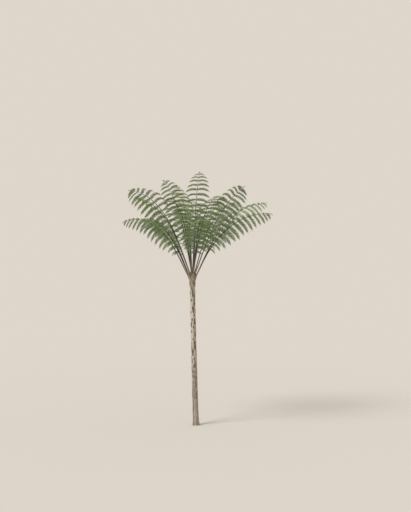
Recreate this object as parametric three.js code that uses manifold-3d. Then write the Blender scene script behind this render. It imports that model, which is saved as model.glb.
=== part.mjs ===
// A tree fern: one slender, slightly leaning trunk that carries a crown of arching fronds in three whorls.
// Millimetres, +Z up. The origin is the centre of the flat cut through the trunk at ground level.
import * as THREE from "three";
import { mergeVertices } from "three/addons/utils/BufferGeometryUtils.js";
import Module from "manifold-3d";

const wasm = await Module();
wasm.setup();

// Driving dimensions: the trunk
const TRUNK_HEIGHT = 3660; // ground to the tip of the crown head
const TRUNK_BOW = -60; // sideways pull of the axis' middle control point
const TRUNK_LEAN = -90; // how far the tip stands off the foot, towards -X
const FOOT_RADIUS = 62;
const NECK_RADIUS = 61;
const NECK_HEIGHT = 3430; // where the trunk is slimmest
const FLARE = 20; // extra radius at the ground
const FLARE_HEIGHT = 110; // the flare falls to a third over this height
const FLARE_RINGS = [0, 0.3, 0.8, 1.6, 3]; // in flare heights
const HEAD_RADIUS = 86; // the head that the frond stalks grow out of
const HEAD_WIDEST = 3545;
const TIP_RADIUS = 12;
const TRUNK_SIDES = 16;
const STEM_RINGS = 10;
const HEAD_RINGS = 6;

// Driving dimensions: the fronds' ribs
const CLEARANCE = 0.3; // between neighbouring solids
const STALK_SHARE = 0.315; // bare stalk, as a share of the frond's length
const STALK_RINGS = [0, 0.03, 0.08, 0.17, 0.28];
const SPLAY_SHARE = 0.05; // a stalk's splay falls to a third over this share
const RIB_TIP_RADIUS = 2.6;
const RIB_TAPER = 0.6;
const RIB_SIDES = 6;
const CURVE_STEPS = 96;
const BEND_SHARE = 0.5; // the first pair of leaflets past this share is the last one below the bend

// Driving dimensions: the leaflets
const LEAFLET_PAIRS = 14;
const LAST_PAIR_SHARE = 0.97;
const PAIR_CROWDING = 1.15; // above 1, the pairs stand closer together towards the tip
const LOWEST_LEAFLET = 0.4; // length of the lowest leaflet against the longest
const FULL_WIDTH_AT = 0.4; // share of the blade at which it is at its widest
const TIP_ROUNDING = 0.45;
const SWEEP_AT_FOOT = 82; // angle between leaflet and rib, in degrees
const SWEEP_LOSS = 24; // how much smaller that angle is at the tip
const LEAFLET_SLIMNESS = 0.25; // width over length
const LEAFLET_ROOM = 0.78; // share of the room between two pairs that a leaflet may fill
const LEAFLET_THICKNESS = 0.013; // over its length
const LEAFLET_LEAST_THICKNESS = 3;
const LEAFLET_STEPS = 12;
const WIDEST_AT = 0.42; // along a leaflet
const THICKEST_AT = 0.3;
const ROOT_DEPTH = 0.6; // how far past the rib's middle a leaflet is rooted, in rib radii
const END_LEAFLET = 90; // its length past the rib's tip
const END_ROOTING = 14; // how far before the tip it is rooted
const END_SLIMNESS = 0.4;
const SECTOR_SHARE = 0.9; // of the room between two fronds of one whorl
const WIDEST_SECTOR = 60; // degrees to each side
const LENGTH_SPREAD = 0.1; // from leaflet to leaflet
const SWEEP_SPREAD = 6;

// Each whorl's stalks rise from a ring inside the head. splay is how much flatter a stalk leaves the head
// than its rise, and lift how far the leaflets stand up from the blade, in degrees. sag is the pull of their
// weight. The higher blunt is, the longer the leaflets stay towards the frond's tip.
const WHORLS = {
  low: { radius: 62, height: 3515, splay: 8, stalk: 16, leaflet: 470, lift: 0, sag: 1.2, blunt: 3 },
  mid: { radius: 38, height: 3565, splay: 4, stalk: 14, leaflet: 460, lift: 5, sag: 1.2, blunt: 6 },
  top: { radius: 14, height: 3600, splay: 0, stalk: 12, leaflet: 340, lift: 8, sag: 1.1, blunt: 4 },
};
const SPLIT_WHORLS = ["low", "mid"]; // their fronds arch over a wide gap, so they are split at the bend

// One row for each frond, angles in degrees. azimuth is the way it leans, from +X towards +Y, and rise its
// slope. droop is how far it turns down by its tip (late above 2: mostly near the tip), sway how far it
// turns sideways and roll how far its blade is turned about its rib.
const FRONDS = [
  { whorl: "low", azimuth: 190, rise: 65.2, droop: 89, late: 2.58, length: 2300, sway: 2, roll: 26 },
  { whorl: "low", azimuth: 230, rise: 58, droop: 74, late: 2.5, length: 2380, sway: 3, roll: -8 },
  { whorl: "low", azimuth: 280, rise: 60, droop: 76, late: 2.3, length: 2380, sway: -3, roll: 6 },
  { whorl: "low", azimuth: 338, rise: 66, droop: 70, late: 1.65, length: 2567, sway: 2.5, roll: -28 },
  { whorl: "low", azimuth: 30, rise: 64, droop: 61, late: 2.04, length: 2833, sway: -3, roll: 22 },
  { whorl: "low", azimuth: 84, rise: 63, droop: 74, late: 2.3, length: 2450, sway: 3, roll: -6 },
  { whorl: "low", azimuth: 138, rise: 63, droop: 78, late: 2.5, length: 2400, sway: -2, roll: 8 },
  { whorl: "mid", azimuth: 224, rise: 64.8, droop: 60.2, late: 2.76, length: 2766, sway: -5, roll: 40 },
  { whorl: "mid", azimuth: 254, rise: 69.5, droop: 60, late: 2.4, length: 2400, sway: -3, roll: -8 },
  { whorl: "mid", azimuth: 291, rise: 69.5, droop: 58, late: 2.5, length: 2420, sway: 3, roll: 8 },
  { whorl: "mid", azimuth: 346, rise: 69.9, droop: 31.5, late: 2.45, length: 2441, sway: -1, roll: -44 },
  { whorl: "mid", azimuth: 47, rise: 68.5, droop: 60, late: 2.6, length: 2440, sway: -3, roll: -8 },
  { whorl: "mid", azimuth: 98, rise: 68.5, droop: 56, late: 2.6, length: 2500, sway: -3, roll: -7 },
  { whorl: "mid", azimuth: 154, rise: 68.5, droop: 54, late: 2.6, length: 2500, sway: 3, roll: 6 },
  { whorl: "top", azimuth: 284, rise: 78, droop: 48, late: 3.8, length: 2620, sway: -3.4, roll: 2 },
  { whorl: "top", azimuth: 28, rise: 79.5, droop: 46, late: 2.7, length: 2120, sway: -3, roll: 0 },
  { whorl: "top", azimuth: 226, rise: 76.2, droop: 36, late: 2.75, length: 2416, sway: 2.5, roll: 50 },
  { whorl: "top", azimuth: 120, rise: 80.5, droop: 32, late: 2.9, length: 2300, sway: 3, roll: 0 },
];

const UP = new THREE.Vector3(0, 0, 1);
const { clamp, degToRad, lerp, smoothstep } = THREE.MathUtils;

const bark = new THREE.MeshStandardMaterial({ name: "bark", color: 0x5b4636, roughness: 0.95, metalness: 0 });
const leaf = new THREE.MeshStandardMaterial({ name: "leaf", color: 0x4a6b2c, roughness: 0.6, metalness: 0 });

// A repeatable number from -0.5 to 0.5 for each seed.
function chance(seed) {
  const wave = Math.sin(seed * 12.9898) * 43758.5453;
  return wave - Math.floor(wave) - 0.5;
}

// A geometry with its shared corners merged, as a solid that can be joined and cut.
function solidOf(geometry) {
  const shape = geometry.clone();
  shape.deleteAttribute("normal");
  shape.deleteAttribute("uv");
  const merged = mergeVertices(shape, 1e-4);
  return new wasm.Manifold(
    new wasm.Mesh({
      numProp: 3,
      vertProperties: merged.getAttribute("position").array,
      triVerts: new Uint32Array(merged.index.array),
    }),
  );
}

function geometryOf(solid) {
  const mesh = solid.getMesh();
  const geometry = new THREE.BufferGeometry();
  geometry.setAttribute("position", new THREE.BufferAttribute(mesh.vertProperties, 3));
  geometry.setIndex(new THREE.BufferAttribute(mesh.triVerts, 1));
  geometry.computeVertexNormals();
  return geometry;
}

// Moves each corner of a geometry to place(corner), which returns a new point.
function reshaped(geometry, place) {
  const positions = geometry.getAttribute("position");
  const corner = new THREE.Vector3();
  for (let i = 0; i < positions.count; i += 1) {
    const moved = place(corner.fromBufferAttribute(positions, i));
    positions.setXYZ(i, moved.x, moved.y, moved.z);
  }
  return geometry;
}

// A closed tube through rings of corners. Each ring has a centre, a radius and the directions of its first
// corner (front) and of the corner a quarter turn on (right).
function ringedTube(sides, rings) {
  const last = rings.length - 1;
  return reshaped(new THREE.CylinderGeometry(1, 1, last, sides, last), (corner) => {
    const ring = rings[Math.round(corner.y + last / 2)];
    return ring.centre
      .clone()
      .addScaledVector(ring.front, ring.radius * corner.z)
      .addScaledVector(ring.right, ring.radius * corner.x);
  });
}

// The point at a share, from 0 to 1, of an evenly stepped line.
function pointAlong(points, share) {
  const steps = points.length - 1;
  const place = clamp(share, 0, 1) * steps;
  const k = Math.min(Math.floor(place), steps - 1);
  return points[k].clone().lerp(points[k + 1], place - k);
}

function trunkAxis(height) {
  const t = height / TRUNK_HEIGHT;
  return new THREE.Vector3(2 * t * (1 - t) * TRUNK_BOW + t * t * TRUNK_LEAN, 0, height);
}

function trunkRadius(height) {
  const stem = lerp(FOOT_RADIUS, NECK_RADIUS, Math.min(height / NECK_HEIGHT, 1));
  const flare = FLARE * Math.exp(-height / FLARE_HEIGHT);
  const head = (HEAD_RADIUS - NECK_RADIUS) * smoothstep(height, NECK_HEIGHT, HEAD_WIDEST);
  return stem + flare + head;
}

// The trunk with its flared foot and its domed head, all grown outwards by an allowance.
function trunkShape(allowance = 0) {
  const heights = FLARE_RINGS.map((share) => share * FLARE_HEIGHT);
  const stemFoot = heights.at(-1);
  for (let k = 1; k <= STEM_RINGS; k += 1) heights.push(lerp(stemFoot, NECK_HEIGHT, k / STEM_RINGS));
  for (let k = 1; k <= HEAD_RINGS; k += 1) heights.push(lerp(NECK_HEIGHT, HEAD_WIDEST, k / HEAD_RINGS));
  const circles = heights.map((height) => ({ height, radius: trunkRadius(height) }));

  const widest = trunkRadius(HEAD_WIDEST);
  const fullTurn = Math.acos(TIP_RADIUS / widest);
  for (let k = 1; k <= HEAD_RINGS; k += 1) {
    const turn = (fullTurn * k) / HEAD_RINGS;
    const rise = (TRUNK_HEIGHT - HEAD_WIDEST) * (Math.sin(turn) / Math.sin(fullTurn));
    circles.push({ height: HEAD_WIDEST + rise, radius: widest * Math.cos(turn) });
  }

  const rings = circles.map(({ height, radius }) => ({
    centre: trunkAxis(height),
    radius: radius + allowance,
    front: new THREE.Vector3(1, 0, 0),
    right: new THREE.Vector3(0, 1, 0),
  }));
  rings.at(-1).centre.z += allowance;
  return ringedTube(TRUNK_SIDES, rings);
}

// A frond's rib, worked out step by step from its slope. at(share) gives its point and directions there.
function ribOf(frond) {
  const whorl = WHORLS[frond.whorl];
  const foot = trunkAxis(whorl.height);
  const step = frond.length / CURVE_STEPS;
  const points = [];
  let out = whorl.radius;
  let up = whorl.height;
  for (let k = 0; k <= CURVE_STEPS; k += 1) {
    const share = k / CURVE_STEPS;
    const heading = degToRad(frond.azimuth + frond.sway * share * share);
    points.push(new THREE.Vector3(foot.x + out * Math.cos(heading), out * Math.sin(heading), up));
    const middle = (k + 0.5) / CURVE_STEPS;
    const splay = whorl.splay * Math.exp(-middle / SPLAY_SHARE);
    const slope = degToRad(frond.rise - splay - frond.droop * middle ** frond.late);
    out += step * Math.cos(slope);
    up += step * Math.sin(slope);
  }
  const at = (share) => {
    const back = pointAlong(points, share - 1 / CURVE_STEPS);
    const along = pointAlong(points, share + 1 / CURVE_STEPS).sub(back).normalize();
    const roll = degToRad(frond.roll) * Math.min(share / STALK_SHARE, 1);
    const side = new THREE.Vector3().crossVectors(UP, along).normalize().applyAxisAngle(along, roll);
    const over = new THREE.Vector3().crossVectors(along, side);
    const radius = lerp(RIB_TIP_RADIUS, whorl.stalk, (1 - share) ** RIB_TAPER);
    return { point: pointAlong(points, share), along, side, over, radius };
  };
  return { foot, at };
}

// Where each pair of leaflets stands: its share of the rib, its share of the blade and the room it has.
function leafletStations(frond) {
  const last = LEAFLET_PAIRS - 1;
  const shares = Array.from({ length: LEAFLET_PAIRS }, (_, k) =>
    lerp(STALK_SHARE, LAST_PAIR_SHARE, 1 - (1 - k / last) ** PAIR_CROWDING),
  );
  return shares.map((share, k) => {
    const room = frond.length * (k < last ? shares[k + 1] - share : share - shares[k - 1]);
    return { pair: k, share, room, blade: (share - STALK_SHARE) / (1 - STALK_SHARE) };
  });
}

// How far a frond's blade may spread to a side, in degrees: half the way to its neighbour in the whorl.
function sectorTo(frond, hand) {
  const gaps = FRONDS.filter((other) => other.whorl === frond.whorl && other !== frond).map(
    (other) => (hand * (other.azimuth - frond.azimuth) + 360) % 360,
  );
  return Math.min(Math.min(...gaps) / 2, WIDEST_SECTOR) * SECTOR_SHARE;
}

// The length of a leaflet against the longest one, by its share of the blade.
function bladeOutline(blade, blunt) {
  const widening = Math.sin((Math.min(blade / FULL_WIDTH_AT, 1) * Math.PI) / 2);
  return lerp(LOWEST_LEAFLET, 1, widening) * (1 - blade ** blunt) ** TIP_ROUNDING;
}

// The line of one leaflet, which leaves the rib in its start direction and sags towards the ground.
function leafletLine(from, start, length, sag) {
  const points = [from.clone()];
  for (let k = 0; k < LEAFLET_STEPS; k += 1) {
    const heading = start.clone().addScaledVector(UP, (-sag * (k + 0.5)) / LEAFLET_STEPS);
    points.push(points[k].clone().addScaledVector(heading.normalize(), length / LEAFLET_STEPS));
  }
  return points;
}

// Shortens a leaflet that would leave its frond's own sector of the crown.
function lengthInSector(frond, foot, from, start, hand, wanted) {
  const heading = degToRad(frond.azimuth);
  const outwards = new THREE.Vector3(Math.cos(heading), Math.sin(heading), 0);
  const sideways = new THREE.Vector3(-hand * Math.sin(heading), hand * Math.cos(heading), 0);
  const limit = Math.tan(degToRad(sectorTo(frond, hand)));
  const reach = leafletLine(from, start, wanted, WHORLS[frond.whorl].sag).at(-1).sub(from);
  const ground = from.clone().sub(foot);
  const free = limit * ground.dot(outwards) - ground.dot(sideways);
  const needed = reach.dot(sideways) - limit * reach.dot(outwards);
  return needed > free ? wanted * (free / needed) : wanted;
}

// One flat leaflet with pointed ends: an octahedron drawn out along its line, its root sunk into the rib.
function leafletShape(place, line, width, thickness) {
  const [foot, tip] = [line[0], line.at(-1)];
  const middle = pointAlong(line, WIDEST_AT);
  const ridge = foot.clone().lerp(middle, THICKEST_AT / WIDEST_AT);
  const root = foot.clone().addScaledVector(foot.clone().sub(middle).normalize(), place.radius * ROOT_DEPTH);
  const along = tip.clone().sub(foot).normalize();
  const across = new THREE.Vector3().crossVectors(place.over, along).normalize();
  const over = new THREE.Vector3().crossVectors(along, across);
  return reshaped(new THREE.OctahedronGeometry(1), (corner) => {
    if (Math.abs(corner.x) > 0.5) return corner.x > 0 ? tip.clone() : root.clone();
    if (Math.abs(corner.y) > 0.5) return middle.clone().addScaledVector(across, (corner.y * width) / 2);
    return ridge.clone().addScaledVector(over, (corner.z * thickness) / 2);
  });
}

// The leaflet on one side of a pair: hand is 1 on the rib's left and -1 on its right.
function leaflet(frond, foot, station, place, hand) {
  const whorl = WHORLS[frond.whorl];
  const seed = 100 * FRONDS.indexOf(frond) + 4 * station.pair + hand;
  const sweep = degToRad(SWEEP_AT_FOOT - SWEEP_LOSS * station.blade ** 2 + SWEEP_SPREAD * chance(seed));
  const lift = degToRad(whorl.lift);
  const start = place.along
    .clone()
    .multiplyScalar(Math.cos(sweep))
    .addScaledVector(place.side, hand * Math.sin(sweep) * Math.cos(lift))
    .addScaledVector(place.over, Math.sin(sweep) * Math.sin(lift));
  const outline = bladeOutline(station.blade, whorl.blunt);
  const wanted = whorl.leaflet * outline * (1 + LENGTH_SPREAD * chance(seed + 0.5));
  const length = lengthInSector(frond, foot, place.point, start, hand, wanted);
  const width = Math.min(length * LEAFLET_SLIMNESS, station.room * LEAFLET_ROOM * Math.sin(sweep));
  const thickness = Math.max(length * LEAFLET_THICKNESS, LEAFLET_LEAST_THICKNESS);
  return leafletShape(place, leafletLine(place.point, start, length, whorl.sag), width, thickness);
}

function endLeaflet(frond, rib) {
  const place = rib.at(1);
  const start = place.point.clone().addScaledVector(place.along, -END_ROOTING);
  const line = leafletLine(start, place.along, END_LEAFLET + END_ROOTING, WHORLS[frond.whorl].sag / 2);
  return leafletShape(place, line, END_LEAFLET * END_SLIMNESS, LEAFLET_LEAST_THICKNESS);
}

// A length of rib between two shares, fused with the leaflets that stand on it. The rib has its rings midway
// between the pairs, and a flat side where a leaflet leaves it.
function frondPiece(frond, rib, from, to) {
  const stations = leafletStations(frond).filter(({ share }) => share > from && share < to);
  const shares = from === 0 ? [...STALK_RINGS] : [from];
  for (let k = 1; k < stations.length; k += 1) shares.push((stations[k - 1].share + stations[k].share) / 2);
  shares.push(to);
  const rings = shares.map((share) => {
    const { point, side, over, radius } = rib.at(share);
    return { centre: point, radius, front: over, right: side.negate() };
  });

  const shapes = [ringedTube(RIB_SIDES, rings)];
  for (const station of stations) {
    const next = shares.findIndex((share) => share > station.share);
    const along = (station.share - shares[next - 1]) / (shares[next] - shares[next - 1]);
    const place = rib.at(station.share);
    place.point.lerpVectors(rings[next - 1].centre, rings[next].centre, along);
    for (const hand of [1, -1]) shapes.push(leaflet(frond, rib.foot, station, place, hand));
  }
  if (to === 1) shapes.push(endLeaflet(frond, rib));
  return wasm.Manifold.union(shapes.map(solidOf));
}

// A frond as one solid, or as two that meet at its bend.
function frondSolids(frond, name, headCut) {
  const rib = ribOf(frond);
  if (!SPLIT_WHORLS.includes(frond.whorl)) return { [name]: frondPiece(frond, rib, 0, 1).subtract(headCut) };
  const stations = leafletStations(frond);
  const below = stations.findIndex(({ share }) => share > BEND_SHARE);
  const bend = (stations[below].share + stations[below + 1].share) / 2;
  const halfGap = CLEARANCE / 2 / frond.length;
  return {
    [`${name}_lower`]: frondPiece(frond, rib, 0, bend - halfGap).subtract(headCut),
    [`${name}_upper`]: frondPiece(frond, rib, bend + halfGap, 1),
  };
}

function namedMesh(name, solid, material) {
  const mesh = new THREE.Mesh(geometryOf(solid), material);
  mesh.name = name;
  return mesh;
}

const fern = new THREE.Group();
fern.add(namedMesh("trunk", solidOf(trunkShape()), bark));

const headCut = solidOf(trunkShape(CLEARANCE));
for (const whorl of Object.keys(WHORLS)) {
  const fronds = FRONDS.filter((frond) => frond.whorl === whorl);
  fronds.forEach((frond, k) => {
    const solids = frondSolids(frond, `frond_${whorl}_${k + 1}`, headCut);
    for (const [name, solid] of Object.entries(solids)) fern.add(namedMesh(name, solid, leaf));
  });
}

export default fern;
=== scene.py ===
"""A tree fern dressed for rendering: a barked trunk, its scaly head, and fronds with all their pinnules.

Metres, in the frame of the CAD model: +Z up, with the origin in the middle of the trunk's cut at ground
level. The fronds repeat the rule of the CAD source. Each of its leaflets is carried on to a stalk with
pinnules along both sides, within the same reach.
"""
import math

import bpy
import numpy as np
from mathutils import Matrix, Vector


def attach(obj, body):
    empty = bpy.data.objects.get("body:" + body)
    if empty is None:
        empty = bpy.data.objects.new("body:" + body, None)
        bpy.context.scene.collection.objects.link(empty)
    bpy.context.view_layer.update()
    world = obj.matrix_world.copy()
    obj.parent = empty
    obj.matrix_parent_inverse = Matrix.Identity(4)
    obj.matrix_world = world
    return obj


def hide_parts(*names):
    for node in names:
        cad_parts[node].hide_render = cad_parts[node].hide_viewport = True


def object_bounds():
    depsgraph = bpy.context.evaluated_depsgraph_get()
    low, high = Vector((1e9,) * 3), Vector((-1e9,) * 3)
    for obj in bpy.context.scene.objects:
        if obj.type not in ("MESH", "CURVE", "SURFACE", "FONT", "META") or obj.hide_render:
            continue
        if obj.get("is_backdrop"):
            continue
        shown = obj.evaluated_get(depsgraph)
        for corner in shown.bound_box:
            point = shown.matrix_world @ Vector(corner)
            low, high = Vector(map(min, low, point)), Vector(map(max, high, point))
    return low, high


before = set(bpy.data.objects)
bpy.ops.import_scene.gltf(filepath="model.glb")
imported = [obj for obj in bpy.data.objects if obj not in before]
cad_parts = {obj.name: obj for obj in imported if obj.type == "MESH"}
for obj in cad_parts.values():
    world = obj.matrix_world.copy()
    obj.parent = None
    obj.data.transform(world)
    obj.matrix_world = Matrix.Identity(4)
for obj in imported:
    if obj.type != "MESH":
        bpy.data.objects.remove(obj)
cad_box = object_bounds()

UP = np.array([0.0, 0.0, 1.0])
rng = np.random.default_rng(20)

# The trunk, as in the CAD source
TRUNK_HEIGHT = 3.66
TRUNK_BOW = -0.06
TRUNK_LEAN = -0.09
FOOT_RADIUS = 0.062
NECK_RADIUS = 0.061
NECK_HEIGHT = 3.43
FLARE = 0.02
FLARE_HEIGHT = 0.11
HEAD_RADIUS = 0.086
HEAD_WIDEST = 3.545
TIP_RADIUS = 0.012

# The trunk's relief
BARK_SIDES = 88
BARK_ROWS = 880
DOME_ROWS = 24
GOLDEN_TURN = math.radians(137.508)
SCAR_LOWEST = 0.3
SCAR_HIGHEST = 3.42
SCAR_RISE = 0.036  # each leaf scar stands this much above the one before
SCAR_HALF_WIDTHS = (0.017, 0.021)  # of the oldest and the youngest scars
SCAR_HALF_HEIGHTS = (0.036, 0.046)
SCAR_RIM = 0.0042
SCAR_DEPTH = 0.0055
SCAR_SHOULDER = 0.003  # the swelling below a scar, where the stalk grew
SCAR_AGING = (0.8, 3.2)  # heights over which the scars turn from worn to fresh
WORN_SCAR_DEPTH = 0.5  # of a fresh scar's
SCAR_WIDTH_SPREAD = 0.15
SCAR_HEIGHT_SPREAD = 0.25
SCAR_STRAY = 0.12  # how far the scars stand beside their spiral, in radians
SCAR_TAPER = 0.22  # how much narrower a scar is at its top
SCAR_RIM_WIDTH = 0.24  # over the scar's half width
SCAR_RIM_SLANT = 0.35  # how much higher the rim stands at the scar's foot
RIDGE_COUNT = 26
RIDGE_TOPS = (0.5, 2.2)
RIDGE_HALF_WIDTHS = (0.0045, 0.0075)
RIDGE_HEIGHT = 0.0045
RIDGE_PULLS = (0.08, 0.2)  # how far the ridges wind to a side, in radians
RIDGE_WINDING = 3.1  # radians a metre
RIDGE_SINKS_FROM = 0.55  # share of a ridge's height from which it gets lower
RIDGE_COVER = 0.75  # how much of the scars the roots hide
STREAK_COUNT = 62
STREAK_LOWEST = 0.2
STREAK_HIGHEST = 3.38
STREAK_HALF_WIDTHS = (0.012, 0.026)
STREAK_HALF_HEIGHTS = (0.05, 0.12)
STREAK_DEPTH = 0.002
STREAK_SWAY = 0.25
STREAK_WINDING = 5  # radians a metre
STREAK_DARKNESS = (0.6, 1)
STREAK_END = (3.3, 3.42)  # where the streaks fade out below the head
RING_COUNT = 14
RING_HEIGHTS = (0.85, 1.4)
RING_HALF_WIDTH = 0.008
RING_SPANS = (1, 1.8)  # in radians
RING_TILT = 0.006
LUMP_HEIGHT = 0.0016
GRAIN_HEIGHT = 0.0009
FOOT_BULGES = 0.007
FOOT_BULGES_REACH = 0.1
STALK_BASE_HEIGHT = 0.012
STALK_BASE_HALF_WIDTH = 0.02
STALK_BASE_STRENGTHS = {"low": 1, "mid": 0.5}
STALK_BASE_RISE = (3.36, 3.52)
STALK_BASE_END = (3.56, 3.64)
PHASES = (0, 6.3)  # of waves, in radians

# The roots, scales and prickles
ROOT_COUNT = 230
ROOT_STEPS = 18
ROOT_LOWEST_TOP = 0.12
ROOT_TOP_RANGE = 1.75
ROOT_SPANS = (0.25, 0.9)
ROOT_RADII = (0.0014, 0.0034)
ROOT_CROWDING = 1.9  # the higher, the more of them start low down
ROOT_WANDERS = (0.05, 0.16)  # in radians
ROOT_WINDING = (2, 6)  # radians a metre
ROOT_SLANT = 0.25  # at most, in radians a metre
ROOT_BULGE = 0.0012
ROOT_BULGE_WAVES = (9, 20)  # radians a metre
ROOT_START_DEPTH = 0.004  # of its top end, in the bark
ROOT_LOWEST = 0.0005
HEAD_SCALES = 2600
HEAD_SCALES_ABOVE = 0.1  # how far over the head's widest place they reach
HEAD_SCALES_RANGE = 0.34
HEAD_SCALES_CROWDING = 1.7  # the higher, the more of them stand near the top
HEAD_SCALE_SPREADS = (0.25, 0.7)  # how far they stand off the head
HEAD_SCALE_LENGTHS = (0.02, 0.042)
HEAD_SCALE_HALF_WIDTHS = (0.0016, 0.003)
STALK_SCALES = 100
STALK_SCALE_SPREAD = 0.03  # their mean share of the rib
STALK_SCALE_LIMIT = 0.2
STALK_SCALE_SPREADS = (0.2, 0.6)
STALK_SCALE_LENGTHS = (0.012, 0.03)
STALK_SCALE_HALF_WIDTHS = (0.001, 0.0022)
STALK_PRICKLES = 60
PRICKLE_PLACES = (0.02, 0.26)
PRICKLE_LENGTHS = (0.0025, 0.005)
PRICKLE_HALF_WIDTH = 0.0011

# The fronds, as in the CAD source
STALK_SHARE = 0.315
SPLAY_SHARE = 0.05
RIB_TIP_RADIUS = 0.0026
RIB_TAPER = 0.6
CURVE_STEPS = 96
LEAFLET_PAIRS = 14
LAST_PAIR_SHARE = 0.97
PAIR_CROWDING = 1.15
LOWEST_LEAFLET = 0.4
FULL_WIDTH_AT = 0.4
TIP_ROUNDING = 0.45
SWEEP_AT_FOOT = 82
SWEEP_LOSS = 24
LEAFLET_SLIMNESS = 0.25
LEAFLET_ROOM = 0.78
SECTOR_SHARE = 0.9
WIDEST_SECTOR = 60
LENGTH_SPREAD = 0.1
SWEEP_SPREAD = 6
END_LEAFLET = 0.09
END_SLIMNESS = 0.4

WHORLS = {
    "low": dict(radius=0.062, height=3.515, splay=8, stalk=0.016, leaflet=0.47, lift=0, sag=1.2, blunt=3),
    "mid": dict(radius=0.038, height=3.565, splay=4, stalk=0.014, leaflet=0.46, lift=5, sag=1.2, blunt=6),
    "top": dict(radius=0.014, height=3.6, splay=0, stalk=0.012, leaflet=0.34, lift=8, sag=1.1, blunt=4),
}


def frond(whorl, azimuth, rise, droop, late, length, sway, roll):
    return dict(
        whorl=whorl, azimuth=azimuth, rise=rise, droop=droop, late=late, length=length, sway=sway, roll=roll)


FRONDS = [
    frond("low", azimuth=190, rise=65.2, droop=89, late=2.58, length=2.3, sway=2, roll=26),
    frond("low", azimuth=230, rise=58, droop=74, late=2.5, length=2.38, sway=3, roll=-8),
    frond("low", azimuth=280, rise=60, droop=76, late=2.3, length=2.38, sway=-3, roll=6),
    frond("low", azimuth=338, rise=66, droop=70, late=1.65, length=2.567, sway=2.5, roll=-28),
    frond("low", azimuth=30, rise=64, droop=61, late=2.04, length=2.833, sway=-3, roll=22),
    frond("low", azimuth=84, rise=63, droop=74, late=2.3, length=2.45, sway=3, roll=-6),
    frond("low", azimuth=138, rise=63, droop=78, late=2.5, length=2.4, sway=-2, roll=8),
    frond("mid", azimuth=224, rise=64.8, droop=60.2, late=2.76, length=2.766, sway=-5, roll=40),
    frond("mid", azimuth=254, rise=69.5, droop=60, late=2.4, length=2.4, sway=-3, roll=-8),
    frond("mid", azimuth=291, rise=69.5, droop=58, late=2.5, length=2.42, sway=3, roll=8),
    frond("mid", azimuth=346, rise=69.9, droop=31.5, late=2.45, length=2.441, sway=-1, roll=-44),
    frond("mid", azimuth=47, rise=68.5, droop=60, late=2.6, length=2.44, sway=-3, roll=-8),
    frond("mid", azimuth=98, rise=68.5, droop=56, late=2.6, length=2.5, sway=-3, roll=-7),
    frond("mid", azimuth=154, rise=68.5, droop=54, late=2.6, length=2.5, sway=3, roll=6),
    frond("top", azimuth=284, rise=78, droop=48, late=3.8, length=2.62, sway=-3.4, roll=2),
    frond("top", azimuth=28, rise=79.5, droop=46, late=2.7, length=2.12, sway=-3, roll=0),
    frond("top", azimuth=226, rise=76.2, droop=36, late=2.75, length=2.416, sway=2.5, roll=50),
    frond("top", azimuth=120, rise=80.5, droop=32, late=2.9, length=2.3, sway=3, roll=0),
]

# What scene.py adds to the fronds
TIP_SHARES = (0.984, 0.994)  # small leaflets past the CAD's last pair
RIB_SIDES = 12
RIB_FOOT_RINGS = 12
RIB_RINGS = 84  # beyond the foot
RIB_FOOT_SHARE = 0.06
RIB_GROOVE = 0.3  # depth of the groove along a rib's upper side, in rib radii
RIB_GROOVE_HALF_WIDTH = 0.49  # in radians
RIB_BUMPS = 0.03
RIB_THINNING = 0.5  # towards the tip, where the leaflets stand close
RIB_THINS_FROM = 0.85
LINE_STEPS = 32
STALKLET_SIDES = 3
STALKLET_RINGS = 10
STALKLET_FOOT = 0.0031
STALKLET_TIP = 0.0007
PINNULE_PITCH = 0.0142
LEAST_PITCH = 0.009
PINNULE_SHARE = 0.48  # half a pinnule's width over the pitch
SMALL_PINNULE = 0.02  # shorter pinnules than this have a plainer outline
SWEEP_OF_PINNULES = (80, 52)  # angle between pinnule and stalk at the leaflet's foot and tip, in degrees
PITCH_SHARE = 0.16  # the pinnules' pitch over the leaflet's width, on small leaflets
LEAST_PINNULE = 0.0045
FIRST_PINNULES = {1: 0.7, -1: 0.95}  # pitches from the rib, so that a leaflet's two rows alternate
BARE_END = 0.3  # pitches
PITCH_SPREAD = 0.1
SHORTEST_AT_FOOT = 0.74  # how long a leaflet's first pinnules are against the next
FULL_LENGTH_AT = 0.16
LEAFLET_BLUNTNESS = 4
LEAFLET_ROUNDING = 0.8
PINNULE_SIZES = (0.92, 1.07)
PINNULE_SLIMNESS = 2.2  # shorter ones, in pitches, get narrower
PINNULE_SWEEP_SPREAD = 3  # this and the next three in degrees
PINNULE_TILT_SPREAD = 6
PINNULE_TWIST = 5
PINNULE_DROOP = (-7, 4)
END_PINNULE = (1.2, 0.4)  # length and half width, in pitches
END_PINNULE_ROOT = 0.002
FOOT_SWELLING = 0.55  # how much thicker a rib is at its very foot
FOOT_SWELLING_REACH = 0.02
WHORL_GREENS = {"low": 1.5, "mid": 1.9, "top": 1.9}  # the number of each whorl's usual green
FROND_GREEN_SPREAD = 0.7
LEAFLET_GREEN_SPREAD = 0.7
TIP_LIGHTENING = 0.3


# Vectors and blends


def unit(vectors):
    return vectors / np.linalg.norm(vectors, axis=-1, keepdims=True)


def lerp(low, high, share):
    return low + (high - low) * share


def smooth(value, low, high):
    share = np.clip((value - low) / (high - low), 0, 1)
    return share * share * (3 - 2 * share)


def bell(value):
    return np.exp(-value * value)


def chance(seed):
    """The CAD source's repeatable number from -0.5 to 0.5 for each seed."""
    wave = math.sin(seed * 12.9898) * 43758.5453
    return wave - math.floor(wave) - 0.5


def wrapped(angle):
    """The same angle between -pi and pi."""
    return (angle + np.pi) % (2 * np.pi) - np.pi


# Meshes


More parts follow.
